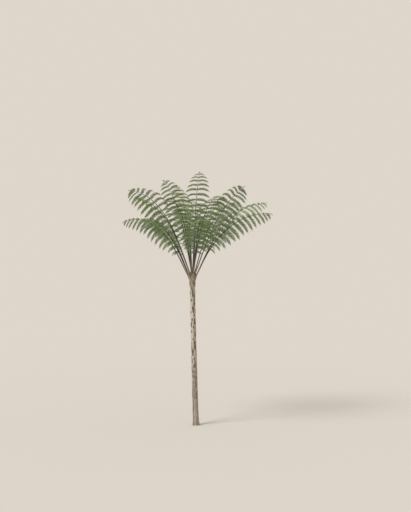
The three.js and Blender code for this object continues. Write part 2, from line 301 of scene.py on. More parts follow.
class Draft:
    """Points and faces gathered for one mesh. tint is the number of the faces' material."""

    def __init__(self):
        self.points, self.faces, self.tints, self.count = [], [], [], 0

    def add(self, points, faces, tint=0):
        points = np.asarray(points).reshape(-1, 3)
        self.points.append(points)
        self.faces.append(faces + self.count)
        self.tints.append(np.broadcast_to(tint, len(faces)))
        self.count += len(points)

    def mesh(self, name):
        corners = np.concatenate([faces.ravel() for faces in self.faces]).astype(np.int32)
        sides = np.concatenate([np.full(len(faces), faces.shape[1]) for faces in self.faces])
        starts = np.concatenate([[0], np.cumsum(sides)[:-1]]).astype(np.int32)
        mesh = bpy.data.meshes.new(name)
        mesh.vertices.add(self.count)
        mesh.vertices.foreach_set("co", np.concatenate(self.points).astype(np.float32).ravel())
        mesh.loops.add(len(corners))
        mesh.loops.foreach_set("vertex_index", corners)
        mesh.polygons.add(len(sides))
        mesh.polygons.foreach_set("loop_start", starts)
        mesh.polygons.foreach_set("material_index", np.concatenate(self.tints).astype(np.int32))
        mesh.polygons.foreach_set("use_smooth", np.ones(len(sides), bool))
        mesh.update(calc_edges=True)
        mesh.validate()
        return mesh


def add_piece(draft, name, materials, nodes):
    """Makes a draft into an object that stands for some CAD nodes and rides on the plant."""
    piece = bpy.data.objects.new(name, draft.mesh(name))
    bpy.context.scene.collection.objects.link(piece)
    for material in materials:
        piece.data.materials.append(material)
    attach(piece, "root")
    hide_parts(*nodes)
    return piece


def ring_faces(rings, sides):
    """Quads between rings of corners, and a fan over each end, whose centres follow the rings."""
    ring = np.arange(rings - 1)[:, None] * sides
    here, beyond = np.arange(sides), (np.arange(sides) + 1) % sides
    quads = np.stack([ring + here, ring + beyond, ring + sides + beyond, ring + sides + here], axis=-1)
    last, foot = (rings - 1) * sides, rings * sides
    foot_fan = np.stack([np.full(sides, foot), beyond, here], axis=-1)
    tip_fan = np.stack([np.full(sides, foot + 1), last + here, last + beyond], axis=-1)
    return quads.reshape(-1, 4), np.concatenate([foot_fan, tip_fan])


def add_rings(draft, rings, tint=0):
    """A closed tube through rings of corners, an array of rings by sides by 3."""
    centres = rings[[0, -1]].mean(axis=1)
    quads, fans = ring_faces(*rings.shape[:2])
    first = draft.count
    draft.add(np.concatenate([rings.reshape(-1, 3), centres]), quads, tint)
    draft.faces.append(fans + first)
    draft.tints.append(np.broadcast_to(np.asarray(tint).ravel()[0], len(fans)))


def tube_rings(centres, radii, front, right, sides):
    """Rings about centres. front and right are each ring's directions, and front x right points onwards."""
    turn = np.arange(sides) * 2 * np.pi / sides
    spokes = front[:, None] * np.cos(turn)[:, None] + right[:, None] * np.sin(turn)[:, None]
    return centres[:, None] + spokes * radii.reshape(len(centres), -1)[..., None]


def add_line_tube(draft, centres, radii, reference, sides, tint=0):
    """A tube along a line, turned so that its first corner lies across the reference direction."""
    along = unit(np.gradient(centres, axis=0))
    front = unit(np.cross(reference, along))
    add_rings(draft, tube_rings(centres, radii, front, np.cross(along, front), sides), tint)


class Blades:
    """Many small blades of one outline. Each has a foot, two directions, a length and a width."""

    def __init__(self):
        self.rows = []

    def add(self, foot, along, across, length, half, tint):
        count = len(foot)
        sizes = [np.broadcast_to(value, count) for value in (length, half, tint)]
        self.rows.append((foot, along, across, *sizes))

    def cast(self, draft, outline, chosen=None):
        columns = [np.concatenate(column) for column in zip(*self.rows)]
        if chosen is not None:
            keep = chosen(columns[3])
            columns = [column[keep] for column in columns]
        foot, along, across, length, half, tint = columns
        if not len(foot):
            return
        shape, faces = outline
        over = np.cross(along, across)
        long_part = along[:, None] * (shape[:, 0] * length[:, None])[..., None]
        wide = shape[:, 1] * half[:, None] + shape[:, 3] * length[:, None]
        high = shape[:, 2] * half[:, None] + shape[:, 4] * length[:, None]
        cross_part = across[:, None] * wide[..., None] + over[:, None] * high[..., None]
        points = foot[:, None] + long_part + cross_part
        blocks = faces[None] + (np.arange(len(foot)) * len(shape))[:, None, None]
        draft.add(points, blocks.reshape(-1, 3), np.repeat(tint, len(faces)))


def blade_outline(spine, margin, fold, curl, hook):
    """A blade's corners and faces, from its spine's places and its margin's (place, breadth).

    fold is how far the margins stand below the spine, curl how far the tip bends down and hook how far it
    bends sideways. Corners are (length, half width, half width up, length sideways, length up).
    """
    def corner(x, y):
        return x, y, -fold * abs(y), hook * x * x, -curl * x * x

    middle = [corner(x, 0) for x in spine]
    points = list(middle)
    faces = []
    tip = len(spine) - 1
    for hand in (1, -1):
        first = len(points)
        points += [corner(x, hand * y) for x, y in margin]
        inner, outer = 0, 0
        while inner < tip or outer < len(margin) - 1:
            outer_left = outer < len(margin) - 1
            if outer_left and (inner >= tip - 1 or margin[outer + 1][0] <= spine[inner + 1]):
                face = (inner, first + outer, first + outer + 1)
                outer += 1
            else:
                face = (inner, first + outer, inner + 1)
                inner += 1
            faces.append(face if hand < 0 else face[::-1])
    return np.array(points), np.array(faces)


# The trunk


def trunk_axis(height):
    share = np.asarray(height) / TRUNK_HEIGHT
    lean = 2 * share * (1 - share) * TRUNK_BOW + share * share * TRUNK_LEAN
    return np.stack([lean, np.zeros_like(share), share * TRUNK_HEIGHT], axis=-1)


def stem_radius(height):
    stem = lerp(FOOT_RADIUS, NECK_RADIUS, np.minimum(height / NECK_HEIGHT, 1))
    head = (HEAD_RADIUS - NECK_RADIUS) * smooth(height, NECK_HEIGHT, HEAD_WIDEST)
    return stem + FLARE * np.exp(-height / FLARE_HEIGHT) + head


def ripples(theta, height, seed, around, along, count=9):
    """An uneven surface from -1 to 1, made of waves, so many around the trunk and so many along a metre."""
    draw = np.random.default_rng(seed)
    total = 0
    for _ in range(count):
        turns = draw.integers(around[0], around[1] + 1)
        rise = draw.uniform(along[0], along[1]) * draw.choice((-1, 1))
        total = total + np.sin(turns * theta + 2 * np.pi * rise * height + draw.uniform(0, 2 * np.pi))
    return total / math.sqrt(count)


def leaf_scars(theta, height):
    """How far each point lies in a leaf scar's hollow, whose dark colour is painted shade, and on its rim,
    and the relief that both give.
    """
    pit_shade, rim, relief = np.zeros_like(theta), np.zeros_like(theta), np.zeros_like(theta)
    girth = stem_radius(height)
    count = round((SCAR_HIGHEST - SCAR_LOWEST) / SCAR_RISE)
    for k in range(count):
        centre = SCAR_LOWEST + k * SCAR_RISE
        young = smooth(centre, *SCAR_AGING)
        half_width = lerp(*SCAR_HALF_WIDTHS, young) * (1 + SCAR_WIDTH_SPREAD * chance(k))
        half_height = lerp(*SCAR_HALF_HEIGHTS, young) * (1 + SCAR_HEIGHT_SPREAD * chance(k + 0.5))
        place = k * GOLDEN_TURN + SCAR_STRAY * chance(k + 0.25)
        across = girth * wrapped(theta - place) / half_width
        up = (height - centre) / half_height
        reach = np.sqrt((across / (1 - SCAR_TAPER * np.clip(up, -1, 1))) ** 2 + up * up)
        depth = lerp(WORN_SCAR_DEPTH, 1, young)
        edge = bell((reach - 1) / SCAR_RIM_WIDTH) * depth
        hollow = smooth(1 - reach, 0.02, 0.4) * depth
        shoulder = bell(across / 0.9) * bell((up + 1.45) / 0.6) * depth
        # painted shade: the mask of the scar's hollow, which later darkens it nearly to black-brown
        pit_shade = np.maximum(pit_shade, hollow)
        rim = np.maximum(rim, edge)
        raised = SCAR_RIM * edge * (1 - SCAR_RIM_SLANT * np.clip(up, -1, 1))
        relief += raised - SCAR_DEPTH * hollow + SCAR_SHOULDER * shoulder
    return pit_shade, rim, relief


def root_ridges(theta, height):
    """The matted roots that thicken the trunk towards the ground, from 0 to 1."""
    draw = np.random.default_rng(3)
    girth = stem_radius(height)
    mat = np.zeros_like(theta)
    for k in range(RIDGE_COUNT):
        start = 2 * np.pi * k / RIDGE_COUNT + draw.uniform(-0.1, 0.1)
        pull, phase = draw.uniform(*RIDGE_PULLS), draw.uniform(*PHASES)
        width, top = draw.uniform(*RIDGE_HALF_WIDTHS), draw.uniform(*RIDGE_TOPS)
        path = start + pull * np.sin(RIDGE_WINDING * height + phase)
        strand = bell(girth * wrapped(theta - path) / width)
        mat = np.maximum(mat, strand * (1 - smooth(height, RIDGE_SINKS_FROM * top, top)))
    return mat


def dark_streaks(theta, height):
    """Furrows of dark, damp fibre along the stem and short rings low down, from 0 to 1."""
    draw = np.random.default_rng(11)
    girth = stem_radius(height)
    dark = np.zeros_like(theta)
    for k in range(STREAK_COUNT):
        centre = lerp(STREAK_LOWEST, STREAK_HIGHEST, (k + draw.uniform(0.1, 0.9)) / STREAK_COUNT)
        start, phase = draw.uniform(0, 2 * np.pi), draw.uniform(*PHASES)
        place = start + STREAK_SWAY * np.sin(STREAK_WINDING * height + phase)
        half_width, half_height = draw.uniform(*STREAK_HALF_WIDTHS), draw.uniform(*STREAK_HALF_HEIGHTS)
        across, up = girth * wrapped(theta - place) / half_width, (height - centre) / half_height
        dark = np.maximum(dark, draw.uniform(*STREAK_DARKNESS) * smooth(1.3 - np.hypot(across, up), 0, 0.6))
    for _ in range(RING_COUNT):
        centre = draw.uniform(*RING_HEIGHTS)
        turn = wrapped(theta - draw.uniform(0, 2 * np.pi))
        line = height - centre - RING_TILT * np.sin(2 * theta + draw.uniform(*PHASES))
        dark = np.maximum(dark, bell(line / RING_HALF_WIDTH) * bell(turn / draw.uniform(*RING_SPANS)))
    return dark * (1 - smooth(height, *STREAK_END))


def stalk_bases(theta, height):
    """Swellings of the head below the stalks of the outer fronds."""
    girth = stem_radius(height)
    total = np.zeros_like(theta)
    for row in FRONDS:
        if row["whorl"] in STALK_BASE_STRENGTHS:
            strength = STALK_BASE_STRENGTHS[row["whorl"]]
            gap = girth * wrapped(theta - math.radians(row["azimuth"]))
            total = np.maximum(total, strength * bell(gap / STALK_BASE_HALF_WIDTH))
    return total * smooth(height, *STALK_BASE_RISE) * (1 - smooth(height, *STALK_BASE_END))


def bark(theta, height):
    """The bark's relief, and the shares of painted shade in the scars' hollows, rim, root and dark streak in
    its look.
    """
    pit_shade, rim, scars = leaf_scars(theta, height)
    mat = root_ridges(theta, height)
    streak = dark_streaks(theta, height)
    clear = 1 - RIDGE_COVER * mat
    lumps = LUMP_HEIGHT * ripples(theta, height, 5, (1, 5), (0.3, 2.5))
    grain = GRAIN_HEIGHT * ripples(theta, height, 6, (12, 28), (0.5, 5), 14)
    fading = FOOT_BULGES * np.exp(-height / FOOT_BULGES_REACH)
    foot = fading * ripples(theta, height, 7, (3, 7), (0, 1))
    relief = scars * clear + lumps + grain + foot + RIDGE_HEIGHT * mat - STREAK_DEPTH * streak
    relief = relief + STALK_BASE_HEIGHT * stalk_bases(theta, height)
    return relief, pit_shade * clear, rim * clear, mat, streak


def bark_point(theta, height, lift=0.0):
    relief = bark(theta, height)[0]
    return trunk_axis(height) + spokes(theta) * (stem_radius(height) + relief + lift)[..., None]


def spokes(theta):
    return np.stack([np.cos(theta), np.sin(theta), np.zeros_like(theta)], axis=-1)


def make_trunk():
    """The trunk's skin, from the flat cut up over the domed head, with its look kept as attributes."""
    turn = np.arange(1, DOME_ROWS + 1) / DOME_ROWS * math.acos(TIP_RADIUS / HEAD_RADIUS)
    dome = HEAD_WIDEST + (TRUNK_HEIGHT - HEAD_WIDEST) * np.sin(turn) / math.sin(turn[-1])
    heights = np.concatenate([np.linspace(0, HEAD_WIDEST, BARK_ROWS), dome])
    radii = np.concatenate([stem_radius(heights[:BARK_ROWS]), HEAD_RADIUS * np.cos(turn)])
    theta, height = np.meshgrid(np.arange(BARK_SIDES) * 2 * np.pi / BARK_SIDES, heights)
    relief, *looks = bark(theta, height)
    relief *= (radii / stem_radius(heights))[:, None]
    rings = trunk_axis(height) + spokes(theta) * (radii[:, None] + relief)[..., None]
    draft = Draft()
    add_rings(draft, rings)
    trunk = add_piece(draft, "trunk_bark", [bark_finish()], ["trunk"])
    for name, values in zip(("pit_shade", "rim", "root", "streak"), looks):
        layer = trunk.data.attributes.new(name, "FLOAT", "POINT")
        layer.data.foreach_set("value", np.append(values.ravel(), [0, 0]).astype(np.float32))


def make_roots():
    """Wiry roots that run down the trunk's lower part, as far as the ground."""
    draft = Draft()
    for _ in range(ROOT_COUNT):
        top = ROOT_LOWEST_TOP + ROOT_TOP_RANGE * rng.random() ** ROOT_CROWDING
        span = min(rng.uniform(*ROOT_SPANS), top)
        height = np.linspace(top, top - span, ROOT_STEPS)
        sway, winding, phase = rng.uniform(*ROOT_WANDERS), rng.uniform(*ROOT_WINDING), rng.uniform(*PHASES)
        wander = sway * np.sin(winding * height + phase)
        slant = rng.uniform(0, 2 * np.pi) + rng.uniform(-ROOT_SLANT, ROOT_SLANT) * (top - height)
        theta = slant + wander
        share = np.linspace(0, 1, ROOT_STEPS)
        size = rng.uniform(*ROOT_RADII)
        ends = (0.25 + 0.75 * smooth(share, 0, 0.15)) * (1 - 0.8 * smooth(share, 0.9, 1) * (top > span))
        bulge = ROOT_BULGE * np.sin(rng.uniform(*ROOT_BULGE_WAVES) * height + rng.uniform(*PHASES))
        sunk = ROOT_START_DEPTH * (1 - smooth(share, 0, 0.1))
        centres = bark_point(theta, height, 0.3 * size + bulge - sunk)
        centres[:, 2] = np.maximum(centres[:, 2], ROOT_LOWEST)
        radii = size * ends
        tint = int(rng.integers(len(ROOT_TINTS)))
        add_line_tube(draft, centres[::-1], radii[::-1], spokes(theta)[::-1], 4, tint)
    draft.points = [np.maximum(points, [-np.inf, -np.inf, 0]) for points in draft.points]
    add_piece(draft, "trunk_roots", [wiry_finish(*row) for row in ROOT_TINTS], ["trunk"])


SCALE_OUTLINE = blade_outline((0, 0.4, 0.75, 1), ((0, 0.5), (0.3, 1), (0.65, 0.7)), 0.25, 0.22, 0.0)


def make_head_scales(ribs):
    """Papery scales over the head and on the feet of the stalks."""
    blades = Blades()
    depth = HEAD_SCALES_RANGE * rng.random(HEAD_SCALES) ** HEAD_SCALES_CROWDING
    height = HEAD_WIDEST + HEAD_SCALES_ABOVE - depth
    theta = rng.uniform(0, 2 * np.pi, HEAD_SCALES)
    on_dome = np.maximum(height - HEAD_WIDEST, 0) / (TRUNK_HEIGHT - HEAD_WIDEST)
    dome_radius = HEAD_RADIUS * np.sqrt(1 - np.minimum(on_dome, 0.98) ** 2)
    out = spokes(theta)
    radius = np.where(on_dome > 0, dome_radius, stem_radius(height)) + 0.5 * bark(theta, height)[0]
    foot = trunk_axis(height) + out * radius[:, None]
    spread = rng.uniform(*HEAD_SCALE_SPREADS, HEAD_SCALES)[:, None]
    tangent = np.stack([-np.sin(theta), np.cos(theta), np.zeros_like(theta)], axis=-1)
    along = unit(UP + out * spread + tangent * rng.uniform(-0.3, 0.3, HEAD_SCALES)[:, None])
    across = unit(np.cross(along, out + 0.3 * rng.normal(size=out.shape)))
    lengths = rng.uniform(*HEAD_SCALE_LENGTHS, HEAD_SCALES)
    halves = rng.uniform(*HEAD_SCALE_HALF_WIDTHS, HEAD_SCALES)
    blades.add(foot, along, across, lengths, halves, rng.integers(0, len(SCALE_TINTS), HEAD_SCALES))
    for rib in ribs:
        shares = np.minimum(rng.exponential(STALK_SCALE_SPREAD, STALK_SCALES), STALK_SCALE_LIMIT)
        point, onwards, side, over, size = rib.at(shares)
        turn = rng.uniform(0, 2 * np.pi, STALK_SCALES)[:, None]
        out = side * np.cos(turn) + over * np.sin(turn)
        along = unit(onwards + out * rng.uniform(*STALK_SCALE_SPREADS, STALK_SCALES)[:, None])
        across = unit(np.cross(along, out))
        lengths = rng.uniform(*STALK_SCALE_LENGTHS, STALK_SCALES)
        halves = rng.uniform(*STALK_SCALE_HALF_WIDTHS, STALK_SCALES)
        tints = rng.integers(0, len(SCALE_TINTS), STALK_SCALES)
        blades.add(point + out * (size * 0.9)[:, None], along, across, lengths, halves, tints)
    draft = Draft()
    blades.cast(draft, SCALE_OUTLINE)
    nodes = ["trunk"] + [rib.nodes[0] for rib in ribs]
    add_piece(draft, "head_scales", [papery_finish(*row) for row in SCALE_TINTS], nodes)


# The fronds


def point_along(points, shares):
    """The points at some shares, from 0 to 1, of an evenly stepped line."""
    steps = len(points) - 1
    place = np.clip(shares, 0, 1) * steps
    k = np.minimum(place.astype(int), steps - 1)
    return lerp(points[k], points[k + 1], (place - k)[..., None])


class Rib:
    """A frond's rib, worked out step by step from its slope as in the CAD source."""

    def __init__(self, index, nodes):
        self.index, self.nodes, self.frond = index, nodes, FRONDS[index]
        self.whorl = WHORLS[self.frond["whorl"]]
        self.foot = trunk_axis(self.whorl["height"])
        row, step = self.frond, self.frond["length"] / CURVE_STEPS
        out, up = self.whorl["radius"], self.whorl["height"]
        points = []
        for k in range(CURVE_STEPS + 1):
            share, middle = k / CURVE_STEPS, (k + 0.5) / CURVE_STEPS
            heading = math.radians(row["azimuth"] + row["sway"] * share * share)
            points.append((self.foot[0] + out * math.cos(heading), out * math.sin(heading), up))
            splay = self.whorl["splay"] * math.exp(-middle / SPLAY_SHARE)
            slope = math.radians(row["rise"] - splay - row["droop"] * middle ** row["late"])
            out += step * math.cos(slope)
            up += step * math.sin(slope)
        self.points = np.array(points)

    def at(self, shares):
        """Points, directions (along, to the left side, over) and radii at some shares of the rib."""
        shares = np.asarray(shares, float)
        step = 1 / CURVE_STEPS
        along = unit(point_along(self.points, shares + step) - point_along(self.points, shares - step))
        level = unit(np.cross(UP, along))
        roll = (math.radians(self.frond["roll"]) * np.minimum(shares / STALK_SHARE, 1))[..., None]
        side = level * np.cos(roll) + np.cross(along, level) * np.sin(roll)
        radius = lerp(RIB_TIP_RADIUS, self.whorl["stalk"], (1 - shares) ** RIB_TAPER)
        return point_along(self.points, shares), along, side, np.cross(along, side), radius


def stations(length):
    """Each pair of leaflets: its share of the rib, its share of the blade and the room it has."""
    last = LEAFLET_PAIRS - 1
    places = [1 - (1 - k / last) ** PAIR_CROWDING for k in range(last + 1)]
    shares = [*(lerp(STALK_SHARE, LAST_PAIR_SHARE, place) for place in places), *TIP_SHARES]
    gaps = [shares[min(k, last - 1) + 1] - shares[min(k, last - 1)] for k in range(len(shares))]
    blades = [(share - STALK_SHARE) / (1 - STALK_SHARE) for share in shares]
    return [(share, blade, length * gap) for share, blade, gap in zip(shares, blades, gaps)]


def sector_to(row, hand):
    """How far a blade may spread to a side, in degrees: half the way to the next frond in its whorl."""
    others = [other for other in FRONDS if other["whorl"] == row["whorl"] and other is not row]
    gaps = [hand * (other["azimuth"] - row["azimuth"]) % 360 for other in others]
    return min(min(gaps) / 2, WIDEST_SECTOR) * SECTOR_SHARE


def blade_reach(blade, blunt):
    """The length of a leaflet against the longest one, by its share of the blade."""
    widening = math.sin(min(blade / FULL_WIDTH_AT, 1) * math.pi / 2)
    return lerp(LOWEST_LEAFLET, 1, widening) * (1 - blade**blunt) ** TIP_ROUNDING


def leaflet_line(start, heading, length, sag):
    """The line of one leaflet, which leaves the rib in its heading and sags towards the ground."""
    shares = (np.arange(LINE_STEPS) + 0.5) / LINE_STEPS
    steps = unit(heading - UP * (sag * shares)[:, None]) * (length / LINE_STEPS)
    return np.concatenate([[start], start + np.cumsum(steps, axis=0)])


def length_in_sector(rib, point, heading, hand, wanted):
    """Shortens a leaflet that would leave its frond's own sector of the crown."""
    azimuth = math.radians(rib.frond["azimuth"])
    outwards = np.array([math.cos(azimuth), math.sin(azimuth), 0])
    sideways = hand * np.array([-math.sin(azimuth), math.cos(azimuth), 0])
    limit = math.tan(math.radians(sector_to(rib.frond, hand)))
    reach = leaflet_line(point, heading, wanted, rib.whorl["sag"])[-1] - point
    ground = point - rib.foot
    free = limit * ground @ outwards - ground @ sideways
    needed = reach @ sideways - limit * reach @ outwards
    return wanted * free / needed if needed > free else wanted


def leaflets(rib):
    """Every leaflet of a frond: its line, the direction over it, its width and its share of the blade."""
    for pair, (share, blade, room) in enumerate(stations(rib.frond["length"])):
        point, along, side, over, radius = rib.at(share)
        for hand in (1, -1):
            seed = 100 * rib.index + 4 * pair + hand
            sweep = math.radians(SWEEP_AT_FOOT - SWEEP_LOSS * blade**2 + SWEEP_SPREAD * chance(seed))
            lift = math.radians(rib.whorl["lift"])
            up_part = over * math.sin(sweep) * math.sin(lift)
            heading = along * math.cos(sweep) + side * hand * math.sin(sweep) * math.cos(lift) + up_part
            reach = blade_reach(blade, rib.whorl["blunt"])
            wanted = rib.whorl["leaflet"] * reach * (1 + LENGTH_SPREAD * chance(seed + 0.5))
            length = length_in_sector(rib, point, heading, hand, wanted)
            width = min(length * LEAFLET_SLIMNESS, room * LEAFLET_ROOM * math.sin(sweep))
            yield leaflet_line(point, heading, length, rib.whorl["sag"]), over, length, width, radius, blade
    point, along, side, over, radius = rib.at(1)
    line = leaflet_line(point, along, END_LEAFLET, rib.whorl["sag"] / 2)
    yield line, over, END_LEAFLET, END_LEAFLET * END_SLIMNESS, 0.0, 1.0


PINNULE_MARGIN = (
    (0, 0.42), (0.12, 1), (0.18, 0.76), (0.34, 1), (0.4, 0.76), (0.57, 0.96), (0.63, 0.7), (0.8, 0.78),
    (0.86, 0.52))
SMALL_MARGIN = (0, 0.45), (0.2, 1), (0.36, 0.8), (0.6, 0.9), (0.83, 0.56)
PINNULE = blade_outline((0, 0.2, 0.42, 0.64, 0.85, 1), PINNULE_MARGIN, 0.22, 0.1, 0.09)
SMALL_OUTLINE = blade_outline((0, 0.4, 0.75, 1), SMALL_MARGIN, 0.22, 0.1, 0.09)


def leaflet_tint(rib, blade):
    """The number of a leaflet's green: the outer fronds are the deepest, and the tips are lighter."""
    base = WHORL_GREENS[rib.frond["whorl"]] + FROND_GREEN_SPREAD * chance(rib.index + 0.3)
    own = rng.uniform(-LEAFLET_GREEN_SPREAD, LEAFLET_GREEN_SPREAD)
    return int(np.clip(round(base + TIP_LIGHTENING * blade + own), 0, len(LEAF_TINTS) - 1))


def add_pinnules(blades, line, over, length, width, radius, tint):
    """Two rows of pinnules along a leaflet's stalk, and one at its end."""
    pitch = float(np.clip(PITCH_SHARE * width, LEAST_PITCH, PINNULE_PITCH))
    twist, droop = rng.normal(0, PINNULE_TWIST), rng.normal(*PINNULE_DROOP)
    for hand in (1, -1):
        places = np.arange(radius + pitch * FIRST_PINNULES[hand], length - BARE_END * pitch, pitch)
        if not len(places):
            continue
        places = places + rng.uniform(-PITCH_SPREAD, PITCH_SPREAD, len(places)) * pitch
        share = np.clip(places / length, 0, 1)
        onwards = unit(point_along(line, share + 0.02) - point_along(line, share - 0.02))
        across = unit(np.cross(over, onwards)) * hand
        above = np.cross(onwards, across) * hand
        outline = lerp(SHORTEST_AT_FOOT, 1, smooth(share, 0, FULL_LENGTH_AT))
        outline = outline * np.maximum(1 - share**LEAFLET_BLUNTNESS, 0) ** LEAFLET_ROUNDING
        leaning = lerp(*SWEEP_OF_PINNULES, share**2) + rng.normal(0, PINNULE_SWEEP_SPREAD, len(places))
        sweep = np.radians(leaning)[:, None]
        size = np.maximum(width / 2 * outline / np.sin(sweep[:, 0]), LEAST_PINNULE)
        size = size * rng.uniform(*PINNULE_SIZES, len(places))
        tilting = droop + hand * twist + rng.normal(0, PINNULE_TILT_SPREAD, len(places))
        tilt = np.radians(tilting)[:, None]
        outwards = across * np.cos(tilt) + above * np.sin(tilt)
        along = onwards * np.cos(sweep) + outwards * np.sin(sweep)
        forward = onwards * np.sin(sweep) - outwards * np.cos(sweep)
        half = pitch * PINNULE_SHARE * np.clip(size / (PINNULE_SLIMNESS * pitch), 0.5, 1)
        blades.add(point_along(line, share), along, forward * hand, size, half, tint)
    onwards = unit(line[-1:] - line[-2:-1])
    across = unit(np.cross(over, onwards))
    size, half = END_PINNULE
    blades.add(line[-1:] - onwards * END_PINNULE_ROOT, onwards, across, pitch * size, pitch * half, tint)


PRICKLE = (
    np.array([(0, -1, 0, 0, 0), (0, 0.5, 0.87, 0, 0), (0, 0.5, -0.87, 0, 0), (1, 0, 0, 0, 0)]),
    np.array([(0, 3, 1), (1, 3, 2), (2, 3, 0)]),
)


def make_ribs(ribs):
    """The fronds' ribs, grooved above and prickly low down: pale feet, dark stalks and greener tips."""
    draft = Draft()
    foot_steps = np.linspace(0, RIB_FOOT_SHARE, RIB_FOOT_RINGS, endpoint=False)
    steps = np.concatenate([foot_steps, np.linspace(RIB_FOOT_SHARE, 1, RIB_RINGS)])
    turn = np.arange(RIB_SIDES) * 2 * np.pi / RIB_SIDES
    groove = 1 - RIB_GROOVE * bell((turn - np.pi / 2) / RIB_GROOVE_HALF_WIDTH)
    prickles = Blades()
    for rib in ribs:
        point, along, side, over, radius = rib.at(steps)
        swelling = 1 + FOOT_SWELLING * np.exp(-steps / FOOT_SWELLING_REACH)
        grown = radius * swelling * (1 - RIB_THINNING * smooth(steps, RIB_THINS_FROM, 1))
        bumps = 1 + RIB_BUMPS * ripples(turn[None], steps[:, None] * 2.5, rib.index, (1, 4), (1, 9))
        rings = tube_rings(point, grown[:, None] * groove * bumps, side, over, RIB_SIDES)
        middle = (steps[:-1] + steps[1:]) / 2
        place = np.clip(middle * (1 + 0.25 * chance(rib.index)), 0, 0.999)
        tint = (np.sqrt(place) * RIB_SHADES).astype(int)
        add_rings(draft, rings, np.repeat(tint, RIB_SIDES))
        shares = rng.uniform(*PRICKLE_PLACES, STALK_PRICKLES)
        point, along, side, over, radius = rib.at(shares)
        angle = rng.uniform(-0.7 * np.pi, 0.2 * np.pi, STALK_PRICKLES)[:, None]
        out = side * np.cos(angle) + over * np.sin(angle)
        prickles.add(point + out * (radius * 0.93)[:, None], unit(out + 0.5 * along), along,
                     rng.uniform(*PRICKLE_LENGTHS, STALK_PRICKLES), PRICKLE_HALF_WIDTH, 0)
    prickles.cast(draft, PRICKLE)
    nodes = [node for rib in ribs for node in rib.nodes]
    add_piece(draft, "frond_ribs", [stalk_finish(*row) for row in RIB_TINTS], nodes)


def make_leaflets(ribs, grown):
    """The leaflets' stalks in one piece, and their pinnules in one piece for each group of fronds."""
    stalklets = Draft()
    shares = np.linspace(0, 1, STALKLET_RINGS) ** 1.1
    radii = lerp(STALKLET_FOOT, STALKLET_TIP, shares**0.8)
    for name, members in grown.items():
        pinnules = Blades()
        for rib in members:
            for line, over, length, width, radius, blade in leaflets(rib):
                tint = leaflet_tint(rib, blade)
                thickness = radii * min(1, length / 0.25 + 0.25)
                centres = point_along(line, shares)
                add_line_tube(stalklets, centres, thickness, over, STALKLET_SIDES, tint > 2)
                add_pinnules(pinnules, line, over, length, width, radius, tint)
        draft = Draft()
        pinnules.cast(draft, PINNULE, lambda length: length >= SMALL_PINNULE)
        pinnules.cast(draft, SMALL_OUTLINE, lambda length: length < SMALL_PINNULE)
        nodes = [node for rib in members for node in rib.nodes]
        add_piece(draft, name, LEAF_FINISHES, nodes)
    nodes = [node for rib in ribs for node in rib.nodes]
    add_piece(stalklets, "leaflet_stalks", [stalk_finish(*row) for row in STALKLET_TINTS], nodes)


def grow_fronds():
    """All ribs, each with the CAD nodes it stands for."""
    ribs, counts = [], {whorl: 0 for whorl in WHORLS}
    for index, row in enumerate(FRONDS):
        counts[row["whorl"]] += 1
        name = f"frond_{row['whorl']}_{counts[row['whorl']]}"
        ribs.append(Rib(index, sorted(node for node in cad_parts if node.startswith(name))))
    return ribs


# Finishes

BARK_PATCHES = (0.34, 0.292, 0.24), (0.55, 0.487, 0.41)
BARK_STRANDS = (0.17, 0.137, 0.108)
ROOTY_BARK = (0.46, 0.405, 0.34), (0.22, 0.185, 0.152)
WORN_RIM = (0.56, 0.49, 0.405)
DAMP_BARK = (0.12, 0.093, 0.072), (0.055, 0.041, 0.032)
# painted shade in the leaf scars' hollows
SCAR_PIT_SHADE = (0.075, 0.054, 0.04)


class Finish:
    """A material whose shader is fed by nodes."""

    def __init__(self, name, colour, scale=(1, 1, 1)):
        self.material = bpy.data.materials.new(name)
        self.material.use_nodes = True
        self.tree = self.material.node_tree
        self.shader = self.tree.nodes["Principled BSDF"]
        self.shader.inputs["Base Color"].default_value = (*colour, 1)
        coordinates = self.node("TexCoord")
        self.place = self.node("Mapping", Vector=coordinates.outputs["Object"], Scale=scale).outputs[0]

    def node(self, kind, settings=None, **inputs):
        node = self.tree.nodes.new("ShaderNode" + kind)
        for key, value in (settings or {}).items():
            setattr(node, key, value)
        for key, value in inputs.items():
            self.feed(node.inputs[key], value)
        return node

    def feed(self, socket, value):
        if isinstance(value, bpy.types.NodeSocket):
            self.tree.links.new(value, socket)
        else:
            socket.default_value = value

    def noise(self, scale, detail=4.0, roughness=0.55):
        settings = dict(Vector=self.place, Scale=scale, Detail=detail, Roughness=roughness)
        return self.node("TexNoise", **settings).outputs[0]

    def ranged(self, value, low, high, to_low=0.0, to_high=1.0):
        node = self.node("MapRange", {"interpolation_type": "SMOOTHSTEP"}, Value=value)
        for key, number in (("From Min", low), ("From Max", high), ("To Min", to_low), ("To Max", to_high)):
            node.inputs[key].default_value = number
        return node.outputs[0]

    def mixed(self, factor, first, second):
        """A blend of two colours, each a socket or three numbers."""
        node = self.node("Mix", {"data_type": "RGBA"})
        for place, value in ((0, factor), (6, first), (7, second)):
            self.feed(node.inputs[place], (*value, 1) if isinstance(value, tuple) else value)
        return node.outputs[2]

    def attribute(self, name):
        return self.node("Attribute", {"attribute_name": name}).outputs["Fac"]

    def roughen(self, value, low, high):
        self.feed(self.shader.inputs["Roughness"], self.ranged(value, 0.3, 0.7, low, high))

    def bump(self, height, distance, strength=1.0):
        node = self.node("Bump", Height=height, Distance=distance, Strength=strength)
        previous = self.shader.inputs["Normal"]
        if previous.is_linked:
            self.feed(node.inputs["Normal"], previous.links[0].from_socket)
        self.feed(previous, node.outputs[0])


